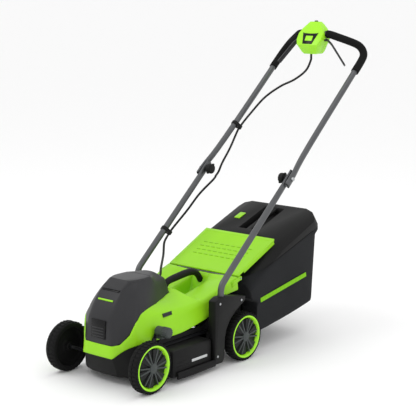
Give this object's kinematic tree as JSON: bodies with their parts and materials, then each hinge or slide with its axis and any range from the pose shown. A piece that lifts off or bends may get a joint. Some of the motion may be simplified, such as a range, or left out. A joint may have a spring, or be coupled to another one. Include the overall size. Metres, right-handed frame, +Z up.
{
  "type": "push lawn mower",
  "caption": "Cordless push lawn mower: lime green cover over a dark deck, domed motor hood with battery lid, folding handle with switch box and bail, and a rear grass box under a hinged flap.",
  "frame": {"origin": "on the ground, under the middle of the mower's overall length and width", "axes": "+Y from the nose towards the handle, +Z up, +X to the side that carries the height lever"},
  "size_m": [0.4068, 1.2417, 1.0748],
  "materials": {
    "green_plastic": "satin moulded lime green",
    "black_plastic": "fine-grained moulded black",
    "dark_grey_plastic": "satin moulded charcoal",
    "hubcap_grey": "satin moulded dark grey",
    "tyre_rubber": "matt moulded tread",
    "grip_foam": "soft matt foam",
    "bag_fabric": "woven breathable fabric",
    "box_lid_plastic": "fine-grained moulded black",
    "coated_tube": "satin grey powder coat",
    "bright_steel": "zinc plated",
    "blade_steel": "dark hardened steel",
    "cable_sheath": "matt flexible sheath"
  },
  "bodies": {
    "chassis": {"deck": "black_plastic", "bracket_left": "black_plastic", "bracket_right": "black_plastic", "top_cover": "green_plastic", "motor_hood": "dark_grey_plastic", "motor": "bright_steel", "battery_bay": "black_plastic", "carry_handle": "black_plastic", "flap_pin": "bright_steel", "cable_gland": "black_plastic", "cable_lower": "cable_sheath", "cable_clip_lower": "black_plastic", "lower_tube_left": "coated_tube", "lower_tube_right": "coated_tube", "fold_bolt_left": "bright_steel", "fold_bolt_right": "bright_steel"},
    "front_axle_unit": {"front_axle": "bright_steel", "height_lever": "bright_steel", "height_knob": "dark_grey_plastic"},
    "rear_axle_unit": {"rear_axle": "bright_steel", "rear_crank_plate": "bright_steel"},
    "height_link_bar": {"height_link": "bright_steel"},
    "lid": {"battery_lid": "dark_grey_plastic"},
    "battery": {"battery_pack": "dark_grey_plastic"},
    "blade_unit": {"motor_shaft": "bright_steel", "blade_adapter": "black_plastic", "blade": "blade_steel", "blade_bolt": "bright_steel"},
    "handle": {"upper_handle": "coated_tube", "grip_left": "grip_foam", "grip_right": "grip_foam", "switch_box_front": "green_plastic", "switch_box_rear": "green_plastic", "switch_panel": "dark_grey_plastic", "cable_upper": "cable_sheath", "cable_clip_upper": "black_plastic"},
    "bail": {"bail_lever": "black_plastic"},
    "button": {"start_button": "dark_grey_plastic"},
    "knob_left": {"fold_knob_left": "black_plastic"},
    "knob_right": {"fold_knob_right": "black_plastic"},
    "flap": {"rear_flap": "green_plastic"},
    "grass_box": {"grass_box_lid": "box_lid_plastic", "grass_bag": "bag_fabric"},
    "indicator": {"level_indicator": "green_plastic"},
    "front_left_wheel_unit": {"front_left_wheel": "tyre_rubber", "front_left_ring": "green_plastic", "front_left_hubcap": "hubcap_grey"},
    "front_right_wheel_unit": {"front_right_wheel": "tyre_rubber", "front_right_ring": "green_plastic", "front_right_hubcap": "hubcap_grey"},
    "rear_left_wheel_unit": {"rear_left_wheel": "tyre_rubber", "rear_left_ring": "green_plastic", "rear_left_hubcap": "hubcap_grey"},
    "rear_right_wheel_unit": {"rear_right_wheel": "tyre_rubber", "rear_right_ring": "green_plastic", "rear_right_hubcap": "hubcap_grey"}
  },
  "joints": [
    {"name": "front_left_spin", "type": "hinge", "parent": "front_axle_unit", "child": "front_left_wheel_unit", "pos_m": [0.177, -0.5409, 0.08], "axis": [1, 0, 0], "continuous": true},
    {"name": "front_right_spin", "type": "hinge", "parent": "front_axle_unit", "child": "front_right_wheel_unit", "pos_m": [-0.177, -0.5409, 0.08], "axis": [1, 0, 0], "continuous": true},
    {"name": "rear_left_spin", "type": "hinge", "parent": "rear_axle_unit", "child": "rear_left_wheel_unit", "pos_m": [0.182, -0.0999, 0.08], "axis": [1, 0, 0], "continuous": true},
    {"name": "rear_right_spin", "type": "hinge", "parent": "rear_axle_unit", "child": "rear_right_wheel_unit", "pos_m": [-0.182, -0.0999, 0.08], "axis": [1, 0, 0], "continuous": true},
    {"name": "height_adjust", "type": "hinge", "parent": "chassis", "child": "front_axle_unit", "pos_m": [0, -0.50918, 0.06521], "axis": [1, 0, 0], "range_deg": [0, 55]},
    {"name": "rear_height", "type": "hinge", "parent": "chassis", "child": "rear_axle_unit", "pos_m": [0, -0.06818, 0.06521], "axis": [1, 0, 0], "range_deg": [0, 55]},
    {"name": "height_link_turn", "type": "hinge", "parent": "front_axle_unit", "child": "height_link_bar", "pos_m": [0.135, -0.48358, 0.11502], "axis": [1, 0, 0], "range_deg": [-55, 0]},
    {"name": "blade_spin", "type": "hinge", "parent": "chassis", "child": "blade_unit", "pos_m": [0, -0.3289, 0.05], "axis": [0, 0, 1], "continuous": true},
    {"name": "battery_lid_hinge", "type": "hinge", "parent": "chassis", "child": "lid", "pos_m": [0, -0.3949, 0.315], "axis": [-1, 0, 0], "range_deg": [0, 100]},
    {"name": "battery_lift", "type": "slide", "parent": "chassis", "child": "battery", "axis": [0, 0, 1], "range_m": [0, 0.012]},
    {"name": "handle_fold", "type": "hinge", "parent": "chassis", "child": "handle", "pos_m": [0, 0.1461, 0.568], "axis": [1, 0, 0], "range_deg": [0, 140]},
    {"name": "left_knob_turn", "type": "hinge", "parent": "chassis", "child": "knob_left", "pos_m": [0.16, 0.1461, 0.568], "axis": [1, 0, 0], "continuous": true},
    {"name": "right_knob_turn", "type": "hinge", "parent": "chassis", "child": "knob_right", "pos_m": [-0.16, 0.1461, 0.568], "axis": [-1, 0, 0], "continuous": true},
    {"name": "bail_squeeze", "type": "hinge", "parent": "handle", "child": "bail", "pos_m": [0, 0.5361, 1.007], "axis": [1, 0, 0], "range_deg": [0, 22], "stiffness_Nm_per_rad": 0.6, "springref_deg": -11.46},
    {"name": "start_press", "type": "slide", "parent": "handle", "child": "button", "axis": [0, 0, -1], "range_m": [0, 0.003], "stiffness_N_per_m": 300, "springref_m": -0.002},
    {"name": "flap_hinge", "type": "hinge", "parent": "chassis", "child": "flap", "pos_m": [0, -0.0744, 0.2635], "axis": [1, 0, 0], "range_deg": [0, 50], "stiffness_Nm_per_rad": 0.15, "springref_deg": -34.38},
    {"name": "grass_box_slide", "type": "slide", "parent": "chassis", "child": "grass_box", "axis": [0, 1, 0], "range_m": [0, 0.2]},
    {"name": "indicator_tilt", "type": "hinge", "parent": "grass_box", "child": "indicator", "pos_m": [-0.092, 0.2141, 0.38875], "axis": [1, 0, 0], "range_deg": [0, 35]}
  ],
  "couplings": [
    {"joint": "rear_height", "follows": "height_adjust", "ratio": 1},
    {"joint": "height_link_turn", "follows": "height_adjust", "ratio": -1}
  ]
}
